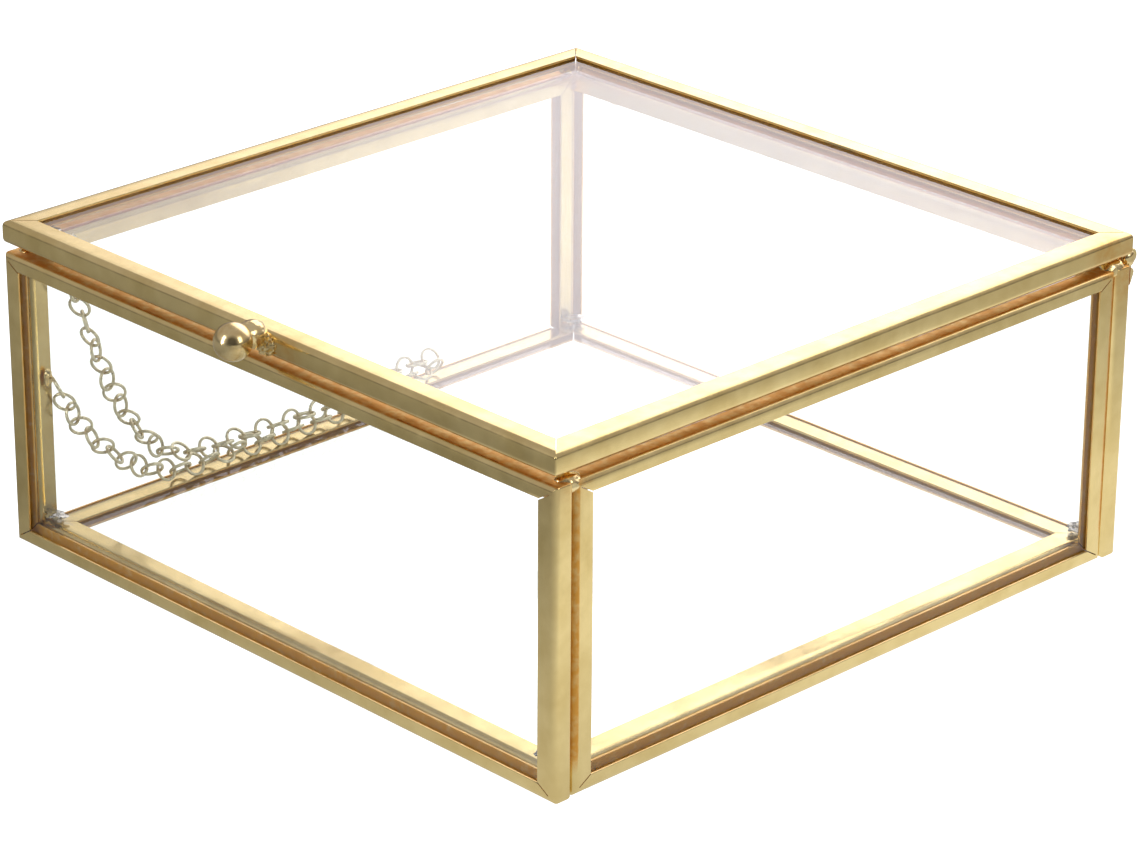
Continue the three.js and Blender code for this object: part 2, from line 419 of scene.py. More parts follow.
@dataclass
class Shape:
    """Points and faces on their way to a mesh object."""

    points: Row = field(default_factory=list)
    faces: list[tuple[int, ...]] = field(default_factory=list)

    def grid(self, rows: Sequence[Row], round_rows: bool = True, round_cols: bool = True) -> "Shape":
        """Join rows of points with quads.

        Args:
            rows: Rows of equal length.
            round_rows: Whether the last row joins the first.
            round_cols: Whether each row closes on itself.

        Returns:
            The shape, for chaining.
        """
        first, count, size = len(self.points), len(rows), len(rows[0])
        for row in rows:
            self.points.extend(row)
        for i in range(count if round_rows else count - 1):
            for j in range(size if round_cols else size - 1):
                a, b = first + i * size, first + (i + 1) % count * size
                k = (j + 1) % size
                self.faces.append((a + j, a + k, b + k, b + j))
        return self

    def tube(self, rows: Sequence[Row]) -> "Shape":
        """Join rows to a tube and close both its ends.

        Args:
            rows: Rings of points, of equal length.

        Returns:
            The shape, for chaining.
        """
        first, size = len(self.points), len(rows[0])
        self.grid(rows, round_rows=False)
        last = len(self.points) - size
        self.faces.append(tuple(range(first, first + size))[::-1])
        self.faces.append(tuple(range(last, last + size)))
        return self

    def join(self, other: "Shape") -> "Shape":
        """Add another shape's points and faces.

        Args:
            other: The shape to add.

        Returns:
            This shape, for chaining.
        """
        first = len(self.points)
        self.points += other.points
        self.faces += [tuple(i + first for i in face) for face in other.faces]
        return self

    def warp(self, move: Callable[[Vector], Vector]) -> "Shape":
        """Move every point by a function of its place, and give the shape back."""
        self.points = [p + move(p) for p in self.points]
        return self

    def make(self, name: str, finish: Slot, body: str, nodes: Iterable[str],
             crease: float = 38.0) -> bpy.types.Object:
        """Make the mesh object, dress it and set it on its body.

        Args:
            name: The piece's name.
            finish: Its material slot.
            body: The moving body it rides on.
            nodes: The frame nodes it stands for.
            crease: Edges sharper than this many degrees stay sharp.

        Returns:
            The new object.
        """
        made = self.bare(name)
        tidy_normals(made.data, crease)
        return mount(made, finish, body, nodes)

    def bare(self, name: str) -> bpy.types.Object:
        """Make a plain mesh object of the shape, linked to the scene.

        Args:
            name: The object's name.

        Returns:
            The new object.
        """
        mesh = bpy.data.meshes.new(name)
        mesh.from_pydata([tuple(p) for p in self.points], [], self.faces)
        mesh.validate()
        made = bpy.data.objects.new(name, mesh)
        bpy.context.scene.collection.objects.link(made)
        return made


def tidy_normals(mesh: bpy.types.Mesh, crease: float) -> None:
    """Turn all faces outward and shade smooth between creases.

    Args:
        mesh: The mesh to tidy.
        crease: Edges sharper than this many degrees stay sharp.
    """
    work = bmesh.new()
    work.from_mesh(mesh)
    bmesh.ops.recalc_face_normals(work, faces=work.faces)
    work.to_mesh(mesh)
    work.free()
    mesh.shade_smooth()
    mesh.set_sharp_from_angle(angle=math.radians(crease))


def mount(piece: bpy.types.Object, finish: Slot, body: str, nodes: Iterable[str]) -> bpy.types.Object:
    """Dress a piece, set it on its body and let it stand for frame nodes.

    Args:
        piece: The piece.
        finish: Its material slot.
        body: The moving body it rides on.
        nodes: The frame nodes it stands for.

    Returns:
        The piece.
    """
    piece.data.materials.clear()
    piece.data.materials.append(Palette.get(finish))
    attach(piece, body)
    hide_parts(*nodes)
    log.info("built %s on %s (%d faces)", piece.name, body, len(piece.data.polygons))
    return piece


def mark(mesh: bpy.types.Mesh, word: str, spots: Spots, strength: float = 1.0) -> None:
    """Write how near each point is to a set of spots.

    Args:
        mesh: The mesh to write on.
        word: The attribute's name.
        spots: Pairs of (centre, reach in metres).
        strength: The value at a centre.
    """
    layer = mesh.attributes.new(word, "FLOAT", "POINT")
    values = []
    for point in mesh.vertices:
        near = max((math.exp(-((point.co - c).length / r) ** 2) for c, r in spots), default=0.0)
        values.append(near * strength)
    layer.data.foreach_set("value", values)


def deepen(mesh: bpy.types.Mesh, word: str, test: Callable[[Vector], float]) -> None:
    """Raise an attribute where a test of each point says so.

    Args:
        mesh: The mesh to write on.
        word: The attribute's name.
        test: The least value at a point.
    """
    layer = mesh.attributes[word]
    for index, point in enumerate(mesh.vertices):
        layer.data[index].value = max(layer.data[index].value, test(point.co))


def wander(place: Vector, size: float, seed: float = 0.0) -> Vector:
    """Smooth noise as a vector of about unit length, with blotches of the given size."""
    return Vector(noise.noise_vector(place / size + Vector((seed, seed * 1.7, -seed))))


def ellipsoid(centre: Vector, half: Vector, lump: float, seed: float, rows: int = 18, cols: int = 32) -> Shape:
    """A lumpy blob.

    Args:
        centre: Its middle.
        half: Its half sizes.
        lump: How far its skin wanders, in metres.
        seed: Which lumps it has.
        rows: Rings from pole to pole.
        cols: Points in each ring.

    Returns:
        The shape.
    """
    made = Shape()
    rings = []
    for i in range(rows + 1):
        tilt = math.pi * (0.02 + 0.96 * i / rows)
        ring = []
        for j in range(cols):
            turn = math.tau * j / cols
            out = Vector((math.sin(tilt) * math.cos(turn), math.sin(tilt) * math.sin(turn), math.cos(tilt)))
            reach = 1 + lump / min(half) * (noise.noise(out * 1.9 + Vector((seed, 0, 0)))
                                            + 0.5 * noise.noise(out * 4.3 + Vector((0, seed, 0))))
            ring.append(centre + Vector(o * h * reach for o, h in zip(out, half)))
        rings.append(ring)
    return made.tube(rings)


# ---------------------------------------------------------------- brass edging


@dataclass
class BrassEdge:
    """A strip of brass sheet folded to a U round one pane, with its corners notched and mitred."""

    side: Side
    outer_lip: float
    inner_lip: float
    body: str = "box"
    sheet: float = 0.4 * MM
    bend: float = 1.0 * MM
    corner: float = 0.3 * MM
    post_wider: float = 0.0
    notch: float = 0.17 * MM
    notch_stop: float = 1.15 * MM
    notch_past: float = 0.3 * MM
    notch_deep: float = 0.62 * MM
    eased: float = 0.07 * MM
    wave: float = 0.045 * MM
    clean_web: float = 0.55 * MM
    # Strengths of the scorch mark: torch_colour is real heat colour; fold_colour, on the sheet's hidden side, is
    # flux colour with painted reflection; gap_colour is heat colour with painted reflection in the upright
    # grooves, and painted shade with some heat colour along the lid gap.
    torch_colour: float = 0.5
    fold_colour: float = 0.35
    gap_colour: float = 0.8
    bend_steps: int = 7
    corner_steps: int = 6
    spacing: float = 3.0 * MM

    def __post_init__(self) -> None:
        """Take the channel's place from the frame."""
        low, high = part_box(f"{self.side.label}_channel")
        self.normal, self.up = (Vector(v) for v in self.side.value)
        self.across = self.up.cross(self.normal)
        self.middle = (low + high) / 2
        extent = high - low
        self.half_width = abs(extent.dot(self.across)) / 2
        self.half_height = abs(extent.dot(self.up)) / 2
        self.half_deep = abs(extent.dot(self.normal)) / 2

    def profile(self) -> list[tuple[float, float]]:
        """The strip's section, from the outer lip's end round the back to the inner lip's, and back inside.

        Returns:
            Pairs of (distance in from the outline, height along the normal), in metres.
        """
        deep, thick, round_lip = self.half_deep, self.sheet, self.eased

        def skin(inset: float, radius: float) -> list[tuple[float, float]]:
            """One side of the sheet round both bends.

            Args:
                inset: How far in from the outline the web lies.
                radius: The bends' radius.

            Returns:
                Pairs of (distance in, height).
            """
            turns = [math.pi / 2 * k / self.bend_steps for k in range(self.bend_steps + 1)]
            reach = deep - inset - radius
            top = [(inset + radius * (1 - math.sin(t)), reach + radius * math.cos(t)) for t in turns]
            low = [(inset + radius * (1 - math.cos(t)), -reach - radius * math.sin(t)) for t in turns]
            return top + [(inset, 0.0)] + low

        outside = skin(0.0, self.bend)
        inside = skin(thick, self.bend - thick)[::-1]
        ends = []
        for lip, sign in ((self.inner_lip, -1), (self.outer_lip, 1)):
            rim = [(lip - round_lip, deep), (lip, deep - round_lip), (lip, deep - thick + round_lip),
                   (lip - round_lip, deep - thick)]
            ends.append([(d, sign * h) for d, h in rim])
        steps = [self.bend + (self.inner_lip - self.bend) * k / 3 for k in (1, 2)]
        low_flat = [(d, -deep) for d in steps]
        flat_top = [(d, deep) for d in (self.bend + (self.outer_lip - self.bend) * k / 3 for k in (2, 1))]
        return outside + low_flat + ends[0] + inside + ends[1][::-1] + flat_top

    def outline(self, inset: float, wider: float = 0.0) -> list[tuple[float, float]]:
        """The channel's outline in its plane, moved in by a distance.

        Args:
            inset: How far in from the outer edge.
            wider: How much further in the two upright sides are.

        Returns:
            Points as (across, up), with as many points for every inset.
        """
        radius = max(self.corner - inset, 0.02 * MM)
        a, b = self.half_width - inset - wider - radius, self.half_height - inset - radius
        counts = [max(4, round(2 * half / self.spacing)) for half in (self.half_width, self.half_height)]
        points: list[tuple[float, float]] = []
        for index, (sx, sy) in enumerate(((1, 1), (-1, 1), (-1, -1), (1, -1))):
            for k in range(self.corner_steps + 1):
                turn = math.pi / 2 * (index + k / self.corner_steps)
                points.append((sx * a + radius * math.cos(turn), sy * b + radius * math.sin(turn)))
            along_width = index % 2 == 0
            count = counts[0] if along_width else counts[1]
            last = points[-1]
            target = (-last[0], last[1]) if along_width else (last[0], -last[1])
            for k in range(1, count):
                share = k / count
                points.append((last[0] + share * (target[0] - last[0]), last[1] + share * (target[1] - last[1])))
        return points

    def place(self, across: float, up: float, out: float) -> Vector:
        """A point of the plane, in the frame."""
        return self.middle + self.across * across + self.up * up + self.normal * out

    def cutters(self) -> Shape:
        """Thin blades across each lip's corners.

        Returns:
            All the blades as one shape.
        """
        made = Shape()
        for lip, sign, wider in ((self.outer_lip, 1, self.post_wider), (self.inner_lip, -1, 0.0)):
            for sx in (-1, 1):
                for sy in (-1, 1):
                    start = Vector((sx * (self.half_width - self.notch_stop),
                                    sy * (self.half_height - self.notch_stop)))
                    stop = Vector((sx * (self.half_width - lip - wider - self.notch_past),
                                   sy * (self.half_height - lip - self.notch_past)))
                    self._blade(made, start, stop, sign * self.half_deep)
        return made

    def _blade(self, made: Shape, start: Vector, stop: Vector, out: float) -> None:
        """Add one blade between two points of the plane.

        Args:
            made: The shape to add it to.
            start: Its end near the outline.
            stop: Its other end.
            out: The height of its middle along the normal.
        """
        way = (stop - start).normalized()
        side = Vector((-way.y, way.x)) * self.notch / 2
        ring = [start - side, stop - side, stop + side, start + side]
        made.tube([[self.place(p.x, p.y, out + h) for p in ring] for h in (-self.notch_deep, self.notch_deep)])

    def sway(self, place: Vector) -> Vector:
        """How far the handmade strip strays from true at a point."""
        loose = wander(place, 26 * MM, len(self.side.label)) + 0.4 * wander(place, 9 * MM, 3.0)
        return loose * self.wave

    def build(self, scorched: Spots, tarnished: Spots) -> bpy.types.Object:
        """Make the strip.

        Args:
            scorched: Places the torch coloured, with reach.
            tarnished: Places left grey by bare solder, with reach.

        Returns:
            The new object.
        """
        rows = []
        for inset, out in self.profile():
            share = max(0.0, inset - self.bend) / (self.outer_lip - self.bend) if out > 0 else 0.0
            rows.append([self.place(x, y, out) for x, y in self.outline(inset, share * self.post_wider)])
        name = f"{self.side.label}_brass_edge"
        piece = Shape().grid(rows).warp(self.sway).bare(name)
        tidy_normals(piece.data, 180)
        self._cut(piece)
        tidy_normals(piece.data, 40)
        mark(piece.data, "scorch", scorched, self.torch_colour)
        mark(piece.data, "tarnish", tarnished)
        # Painted reflection in the folds and grooves and painted shade along the lid gap, laid with the heat
        # colour.
        deepen(piece.data, "scorch", self.browning)
        # Stain mark on the fold's hidden side: flux colour, partly painted reflection.
        mark(piece.data, "stain", [])
        deepen(piece.data, "stain", lambda place: float(self.in_fold(place)))
        return mount(piece, Slot.BRASS, self.body, [f"{self.side.label}_channel"])

    def depths(self, place: Vector) -> tuple[float, float]:
        """A point's distance in from the outline, and its height along the normal.

        Args:
            place: The point, in the frame.

        Returns:
            The distance and the height, in metres.
        """
        offset = place - self.middle
        sides = self.half_width - abs(offset.dot(self.across)), self.half_height - abs(offset.dot(self.up))
        return min(sides), offset.dot(self.normal)

    def in_fold(self, place: Vector) -> bool:
        """Whether a point is on the sheet's hidden side, where flux dried and the polish never reached; its flux
        colour also stands in as painted reflection of the brass facing it.
        """
        inset, out = self.depths(place)
        return inset > 0.75 * self.sheet and abs(out) < self.half_deep - 0.75 * self.sheet

    def in_groove(self, place: Vector) -> bool:
        """Whether a point is on a bend in the upright groove between a side wall and its neighbour.

        Args:
            place: The point, in the frame.

        Returns:
            Whether it is.
        """
        if self.side not in (Side.LEFT, Side.RIGHT):
            return False
        offset = place - self.middle
        near_end = self.half_width - abs(offset.dot(self.across)) < 0.85 * self.bend
        above_base = offset.z > -self.half_height + 4 * MM
        return near_end and above_base and offset.dot(self.normal) > 0.4 * self.half_deep

    def browning(self, place: Vector) -> float:
        """How much scorch colour a point gets: heat colour with painted reflection in the folds and grooves, and
        painted shade with some heat colour at the lid gap; polishing takes it off everywhere else.

        Args:
            place: The point, in the frame.

        Returns:
            From 0 for none to 1 for the full colour.
        """
        # Hidden side of the fold: flux colour that also stands in as painted reflection.
        if self.in_fold(place):
            return self.fold_colour
        # Upright groove: heat colour with painted reflection of the neighbouring brass.
        if self.in_groove(place):
            return self.gap_colour
        inset, out = self.depths(place)
        if self.side is Side.BOTTOM:
            return 0.0
        # Faces along the lid gap: painted gap shade with some heat colour.
        if self.side is Side.LID:
            past = self.middle.z - self.half_deep - place.z
        else:
            past = place.z - self.middle.z - self.half_height
            if out > self.half_deep - self.clean_web:
                return 0.0
        fade = min(1.0, max(0.0, 2.4 - inset / MM))
        return self.gap_colour * fade if past > -0.12 * MM else 0.0

    def _cut(self, piece: bpy.types.Object) -> None:
        """Saw the notches out of the strip.

        Args:
            piece: The whole strip.
        """
        blades = self.cutters().bare(f"{self.side.label}_saw")
        tidy_normals(blades.data, 30)
        cut = piece.modifiers.new("saw", "BOOLEAN")
        cut.operation, cut.solver, cut.object = "DIFFERENCE", "EXACT", blades
        graph = bpy.context.evaluated_depsgraph_get()
        sawn = bpy.data.meshes.new_from_object(piece.evaluated_get(graph))
        if len(sawn.polygons) > len(piece.data.polygons) // 2:
            piece.modifiers.clear()
            piece.data = sawn
        bpy.data.objects.remove(blades)


@dataclass
class GlassPane:
    """A clear pane of the frame's own, its edges eased with a stone."""

    side: Side
    ease: float = 0.12 * MM

    def dress(self) -> None:
        """Give the frame's pane its glass and its eased edges."""
        pane = frame["nodes"][f"{self.side.label}_glass"]
        pane.data.materials.clear()
        pane.data.materials.append(Palette.get(Slot.GLASS))
        eased = pane.modifiers.new("eased", "BEVEL")
        eased.width, eased.segments, eased.limit_method = self.ease, 2, "ANGLE"
        log.info("dressed %s", pane.name)


# ---------------------------------------------------------------- solder


@dataclass
class SolderBead:
    """One lumpy bead in the place of a frame node."""

    node: str
    finish: Slot = Slot.GOLD_SOLDER
    body: str = "box"
    lump: float = 0.1 * MM
    sink: float = 1.0
    along: float = 0.0
    drop: float = 0.0
    share: float = 0.96

    def build(self) -> bpy.types.Object:
        """Make the bead, sunk to some multiple of its seen height.

        Returns:
            The new object.
        """
        low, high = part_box(self.node)
        half = (high - low) / 2
        centre = (low + high) / 2
        half.z *= self.sink
        centre.z = high.z - half.z
        centre.y += self.along
        centre.z -= self.drop
        made = ellipsoid(centre, half * self.share, self.lump, sum(map(ord, self.node)) * 0.37)
        return made.make(f"{self.node}_bead", self.finish, self.body, [self.node], 60)


# ---------------------------------------------------------------- hinge


@dataclass
class Hinge:
    """A wire through two fixed end tubes and a long tube on the lid, all soldered on."""

    segments: int = 40
    ease: float = 0.12 * MM
    bore: float = 0.68 * MM
    reach: float = 58.9 * MM
    cap: Vector = field(default_factory=lambda: Vector((0.9, 1.3, 1.5)) * MM)
    tail: Vector = field(default_factory=lambda: Vector((0.8, 0.85, 2.6)) * MM)
    tail_drop: Vector = field(default_factory=lambda: Vector((0, -0.35, -2.2)) * MM)

    def _short(self, node: str) -> tuple[Vector, Vector]:
        """A piece's corners, with its ends kept inside the solder at the hinge's two ends.

        Args:
            node: The frame node it stands for.

        Returns:
            The low and the high corner.
        """
        low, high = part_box(node)
        low.x, high.x = max(low.x, -self.reach), min(high.x, self.reach)
        return low, high

    def tube(self, node: str, body: str) -> bpy.types.Object:
        """Make one bored tube with eased ends.

        Args:
            node: The frame node it stands for.
            body: The body it rides on.

        Returns:
            The new object.
        """
        low, high = self._short(node)
        radius = (high.z - low.z) / 2
        path = [(low.x + self.ease, radius), (low.x, radius - self.ease), (low.x, self.bore + self.ease),
                (low.x + self.ease, self.bore), (high.x - self.ease, self.bore), (high.x, self.bore + self.ease),
                (high.x, radius - self.ease), (high.x - self.ease, radius)]
        count = max(2, round((high.x - low.x) / (3 * MM)))
        path += [(high.x + (low.x - high.x) * k / count, radius) for k in range(1, count)]
        rows = [self._ring(x, r, (low + high) / 2) for x, r in path]
        made = Shape().grid(rows).warp(lambda p: wander(p, 12 * MM) * 0.02 * MM)
        return made.make(f"{node}_turned", Slot.BRASS, body, [node])

    def wire(self) -> bpy.types.Object:
        """Make the wire, its ends rounded over.

        Returns:
            The new object.
        """
        low, high = self._short("hinge_wire")
        radius = (high.z - low.z) / 2
        path = []
        for end, sign in ((low.x, 1), (high.x, -1)):
            dome = [(end + sign * radius * (1 - math.sin(t)), max(radius * math.cos(t), 0.02 * MM))
                    for t in (math.pi / 2 * k / 6 for k in range(7))]
            path += dome[::-1] if sign == 1 else dome
        rows = [self._ring(x, r, (low + high) / 2) for x, r in path]
        return Shape().tube(rows).make("hinge_wire_drawn", Slot.BRASS, "box", ["hinge_wire"])

    def fillet(self, node: str, body: str, above: bool, seed: float) -> bpy.types.Object:
        """Make the long lumpy fillet that holds a tube.

        Args:
            node: The frame node it stands for.
            body: The body it rides on.
            above: Whether it climbs above the tube or hangs below it.
            seed: Which lumps it has.

        Returns:
            The new object.
        """
        low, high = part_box(node)
        deep, tall = high.y - low.y, high.z - low.z
        count = max(12, round((high.x - low.x) / (0.8 * MM)))
        section = [(0, 0), (0.35, 0.03), (0.7, 0.12), (0.95, 0.26), (0.86, 0.42), (0.6, 0.62), (0.32, 0.82),
                   (0.04, 0.97), (0, 1), (0, 0.5)]
        rows = []
        for k in range(count + 1):
            x = low.x + (high.x - low.x) * k / count
            fade = math.sin(math.pi * min(max(k / count, 0.02), 0.98)) ** 0.12
            swell = 1 + 0.22 * noise.noise(Vector((x / (3.4 * MM), seed, 0))) - 0.12
            row = []
            for out, along in section:
                reach = along * fade * swell
                z = low.z + reach * tall if above else high.z - reach * tall
                row.append(Vector((x, low.y + out * deep * fade * min(swell, 1.04), z)))
            rows.append(row)
        made = Shape().tube(rows)
        if body == "box":
            self._cap(made, max(low.x, high.x, key=abs), seed)
        return made.make(f"{node}_run", Slot.GOLD_SOLDER, body, [node], 75)

    def _cap(self, made: Shape, outer: float, seed: float) -> None:
        """Add the blob that covers the wire's end, and its tail down the post.

        Args:
            made: The shape to add them to.
            outer: The x of the fillet's outer end.
            seed: Which lumps they have.
        """
        low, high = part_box("hinge_wire")
        x = math.copysign(min(abs(outer), self.reach) - 0.55 * MM, outer)
        middle = Vector((x, (low.y + high.y) / 2 - 0.2 * MM, (low.z + high.z) / 2 - 0.3 * MM))
        made.join(ellipsoid(middle, self.cap, 0.05 * MM, seed))
        made.join(ellipsoid(middle + self.tail_drop, self.tail, 0.08 * MM, seed + 1))

    def _ring(self, x: float, radius: float, middle: Vector) -> Row:
        """A ring of points round the hinge's axis."""
        turns = (math.tau * k / self.segments for k in range(self.segments))
        return [Vector((x, middle.y + radius * math.cos(t), middle.z + radius * math.sin(t))) for t in turns]

    def build(self) -> None:
        """Make every piece of the hinge."""
        self.wire()
        for side, seed in (("left", 2.0), ("right", 7.0)):
            self.tube(f"hinge_end_tube_{side}", "box")
            self.fillet(f"hinge_end_solder_{side}", "box", False, seed)
        self.tube("hinge_lid_tube", "lid")
        self.fillet("hinge_lid_solder", "lid", True, 4.0)


# ---------------------------------------------------------------- knob


@dataclass
class Knob:
    """A ball on a short stem, held to the lid's front edge by a collar and a crumpled patch of solder."""

    stem: float = 1.0 * MM
    collar: Vector = field(default_factory=lambda: Vector((2.1, 2.5, 2.1)) * MM)
    collar_out: float = 1.9 * MM
    collar_rise: float = 0.25 * MM
    patch_thick: float = 0.45 * MM
    patch_margin: float = 0.1 * MM
    fold_height: float = 0.75 * MM
    patch_left: float = -2.2 * MM
    patch_right: float = 3.0 * MM
    segments: int = 56

    def __post_init__(self) -> None:
        """Take the ball's place from the frame."""
        low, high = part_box("knob_ball")
        self.radius = (high.x - low.x) / 2
        self.centre = Vector(((low.x + high.x) / 2, low.y + self.radius, (low.z + high.z) / 2))
        self.lid_low, self.lid_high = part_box("lid_channel")
        self.stand_off = self.lid_low.y - self.centre.y

    def _turned(self, profile: Sequence[tuple[float, float]]) -> Shape:
        """A shape turned about the knob's axis.

        Args:
            profile: Pairs of (radius, distance behind the ball's centre).

        Returns:
            The shape.
        """
        rows = []
        for radius, along in profile:
            turns = (math.tau * k / self.segments for k in range(self.segments))
            rows.append([self.centre + Vector((radius * math.cos(t), along, radius * math.sin(t))) for t in turns])
        return Shape().tube(rows)

    def ball(self) -> bpy.types.Object:
        """Make the ball and its stem.

        Returns:
            The new object.
        """
        neck, tip, steps = math.asin(self.stem / self.radius), 0.01, 40
        profile = []
        for k in range(steps + 1):
            turn = -math.pi / 2 + tip + (math.pi - neck - tip) * k / steps
            profile.append((self.radius * math.cos(turn), self.radius * math.sin(turn)))
        profile += [(self.stem, self.stand_off - 0.3 * MM), (self.stem, self.stand_off - 0.05 * MM)]
        made = self._turned(profile).warp(lambda p: wander(p, 2.6 * MM) * 0.012 * MM)
        return made.make("knob_ball_polished", Slot.POLISHED, "lid", ["knob_ball"])

    def solder(self) -> bpy.types.Object:
        """Make the domed collar and the crumpled patch beside it.

        Returns:
            The new object.
        """
        dome = self.centre + Vector((0, self.stand_off - self.collar_out, self.collar_rise))
        made = ellipsoid(dome, self.collar, 0.12 * MM, 3.0, 34, 48)
        tall = self.lid_high.z - self.lid_low.z
        half = Vector(((self.patch_right - self.patch_left) / 2, self.patch_thick, tall / 2 - self.patch_margin))
        middle = Vector(((self.patch_left + self.patch_right) / 2, self.lid_low.y - 0.02 * MM,
                         (self.lid_high.z + self.lid_low.z) / 2))
        patch = ellipsoid(middle, half, 0.08 * MM, 11.0, 70, 90)
        patch.warp(self._crumple)
        made.join(patch)
        return made.make("knob_solder_crumpled", Slot.GOLD_SOLDER, "lid", ["knob_solder"], 60)

    def _crumple(self, place: Vector) -> Vector:
        """Sharp folds in the skin of the patch."""
        folds = abs(noise.noise(place / (0.75 * MM))) + 0.6 * abs(noise.noise(place / (0.38 * MM)))
        return Vector((0, -self.fold_height * (folds - 0.3), 0))

    def build(self) -> None:
        """Make the knob."""
        self.ball()
        self.solder()


# ---------------------------------------------------------------- stay chain


@dataclass
class HalfChain:
    """One strand of the stay chain: flat round rings on a row of hinged spans."""

    name: str
    spans: Sequence[int]
    roll: float
    hang: Vector
    lie: Vector
    unit: float = 2.65 * MM
    pitch: float = 2.9 * MM
    ring: float = 1.68 * MM
    thick: float = 0.22 * MM
    broad: float = 0.25 * MM
    squared: float = 0.72
    around: int = 30
    section: int = 10
    steps: int = 60
    twist: float = 0.42
    play: float = 0.12 * MM
    touch: float = 0.5 * MM

    def route(self) -> list[Vector]:
        """The strand's smooth curve, from the joints' pivots in the frame's record.

        Returns:
            Closely spaced points along it.
        """
        pivots = {j["name"]: Vector(j["pos_m"]) for j in frame["record"]["behaviour"]["joints"]}
        knots = [pivots[f"{self.name}_{k + 1}_link"] for k in range(len(self.spans))]
        run = knots[-1].copy()
        run.y += self.spans[-1] * self.unit
        low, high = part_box(f"{self.name}_{len(self.spans)}")
        flat = (low.z + high.z) / 2
        middle = (knots[-1] + run) / 2
        middle.z = run.z = flat
        knots += [middle, run]
        knots = [2 * knots[0] - knots[1], *knots, 2 * knots[-1] - knots[-2]]
        points = []
        for a, b, c, d in zip(knots, knots[1:], knots[2:], knots[3:]):
            for k in range(self.steps):
                t = k / self.steps
                points.append(0.5 * ((2 * b) + (c - a) * t + (2 * a - 5 * b + 4 * c - d) * t * t
                                     + (3 * b - a - 3 * c + d) * t ** 3))
        points.append(knots[-2])
        return points

    def stations(self) -> list[tuple[Vector, Vector, float]]:
        """Where every ring goes.

        Returns:
            Each ring's (centre, direction, distance along the strand).
        """
        points = self.route()
        lengths = [0.0]
        for a, b in zip(points, points[1:]):
            lengths.append(lengths[-1] + (b - a).length)
        count = round(lengths[-1] / self.pitch)
        top, made, index = points[0].z, [], 0
        for ring in range(count):
            want = lengths[-1] * (ring + 0.5) / count
            while lengths[index + 1] < want:
                index += 1
            share = (want - lengths[index]) / (lengths[index + 1] - lengths[index])
            place = points[index].lerp(points[index + 1], share)
            high = max(0.0, (place.z - points[-1].z) / (top - points[-1].z)) ** 0.5
            place = place + self.lie.lerp(self.hang, min(1.0, high))
            made.append((place, (points[index + 1] - points[index]).normalized(), want))
        return made

    def add_ring(self, made: Shape, centre: Vector, way: Vector, roll: float) -> None:
        """Add one ring.

        Args:
            made: The shape to add it to.
            centre: The ring's middle.
            way: The chain's direction there, which lies in the ring's plane.
            roll: The ring's turn about that direction, in radians.
        """
        side = way.cross(Vector((1, 0, 0))).normalized()
        flat = Matrix.Rotation(roll, 3, way) @ side
        axis = way.cross(flat)
        rows = []
        for i in range(self.around):
            turn = math.tau * i / self.around
            out = way * math.cos(turn) + flat * math.sin(turn)
            row = []
            for j in range(self.section):
                t = math.tau * j / self.section
                c = math.copysign(abs(math.cos(t)) ** self.squared, math.cos(t))
                s = math.copysign(abs(math.sin(t)) ** self.squared, math.sin(t))
                row.append(centre + out * (self.ring + self.thick * c) + axis * self.broad * s)
            rows.append(row)
        made.grid(rows)

    def build(self) -> None:
        """Make every span's rings."""
        places = self.stations()
        start = 0.0
        for number, links in enumerate(self.spans, start=1):
            end = start + links * self.unit
            last = number == len(self.spans)
            made, painted_contact_shade = Shape(), []
            for index, (centre, way, along) in enumerate(places):
                if along < start or (along >= end and not last):
                    continue
                turn = self.roll + (math.pi / 4 if index % 2 else -math.pi / 4) + self.slack(index, 0) * self.twist
                loose = Vector([self.slack(index, k) for k in (1, 2, 3)]) * self.play
                self.add_ring(made, centre + loose, way, turn)
                painted_contact_shade += [(centre + way * end_on, self.touch) for end_on in (-self.ring, self.ring)]
            start = end
            node = f"{self.name}_{number}"
            piece = made.make(f"{node}_rings", Slot.CHAIN, node, [node], 50)
            # Painted contact shade: a darker, duller tone where each ring touches its neighbours.
            mark(piece.data, "scorch", painted_contact_shade, 0.6)

    def slack(self, ring: int, which: int) -> float:
        """A ring's small fixed slack, from -1 to 1."""
        return random.Random(f"{self.name} {ring} {which}").uniform(-1, 1)


# ---------------------------------------------------------------- studio


